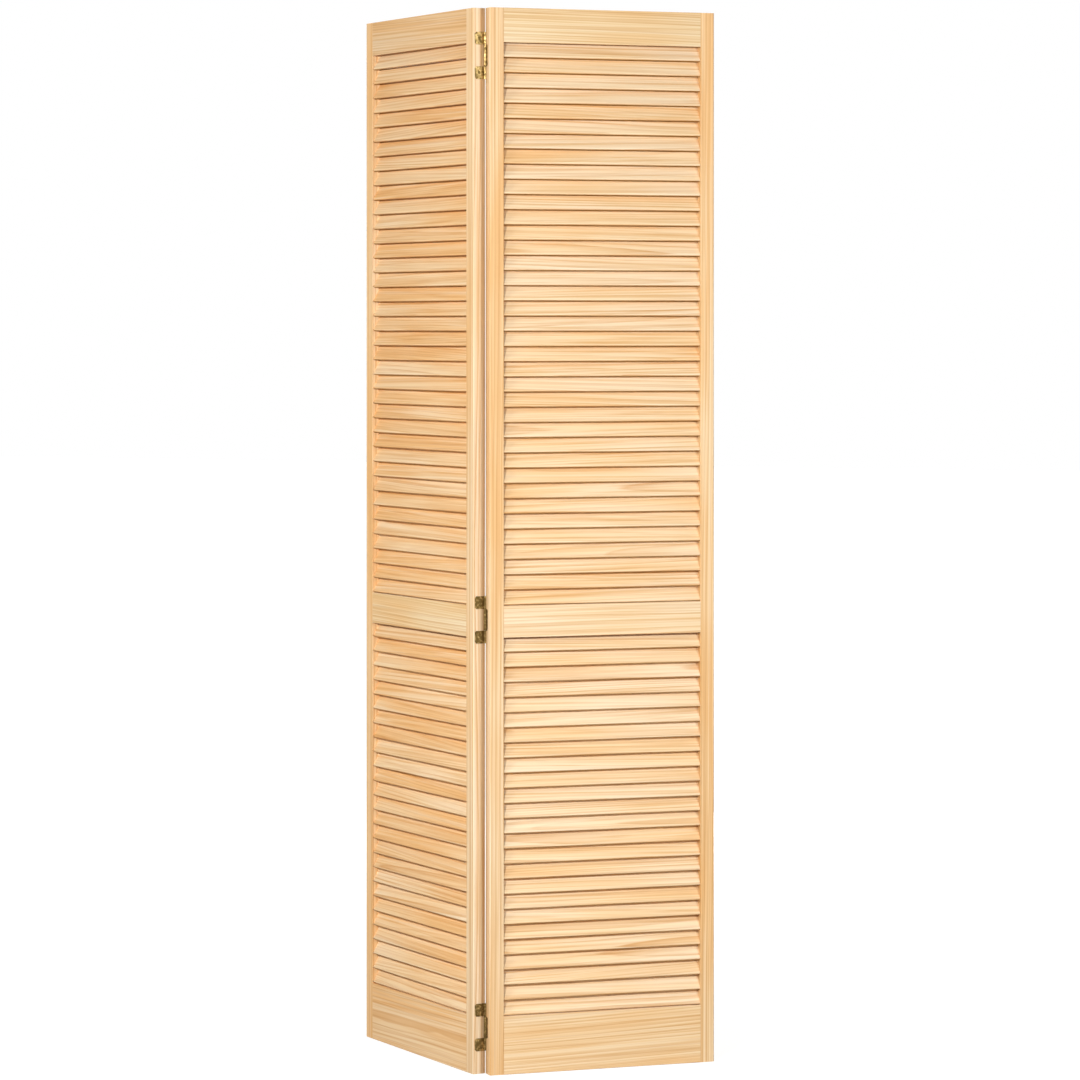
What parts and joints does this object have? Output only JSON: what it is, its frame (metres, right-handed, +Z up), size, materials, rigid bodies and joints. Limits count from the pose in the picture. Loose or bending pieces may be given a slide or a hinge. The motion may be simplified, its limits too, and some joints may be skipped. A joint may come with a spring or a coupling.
{
  "type": "louvred bifold door",
  "caption": "Louvred bifold door in clear pine: leaves of slanted fixed slats between stiles and rails, joined by brass hinges and standing half folded.",
  "frame": {"origin": "on the floor, below the middle of the folded pair's box", "axes": "+Z up along the leaves; +X towards the right leaf; the hinged edges point towards -Y"},
  "size_m": [0.7256, 0.3062, 2.0066],
  "materials": {
    "stile_pine": "sanded, unfinished",
    "rail_pine": "sanded, unfinished",
    "slat_pine": "sanded, unfinished",
    "hinge_brass": "polished plate"
  },
  "bodies": {
    "root": {"right_outer_stile": "stile_pine", "right_hinge_stile": "stile_pine", "right_top_rail": "rail_pine", "right_mid_rail": "rail_pine", "right_bottom_rail": "rail_pine", "right_upper_slats": "slat_pine", "right_lower_slats": "slat_pine", "left_outer_stile": "stile_pine", "left_hinge_stile": "stile_pine", "left_top_rail": "rail_pine", "left_mid_rail": "rail_pine", "left_bottom_rail": "rail_pine", "left_upper_slats": "slat_pine", "left_lower_slats": "slat_pine", "top_hinge_ears": "hinge_brass", "top_hinge_plate": "hinge_brass", "middle_hinge_ears": "hinge_brass", "middle_hinge_plate": "hinge_brass", "bottom_hinge_ears": "hinge_brass", "bottom_hinge_plate": "hinge_brass"}
  },
  "joints": []
}
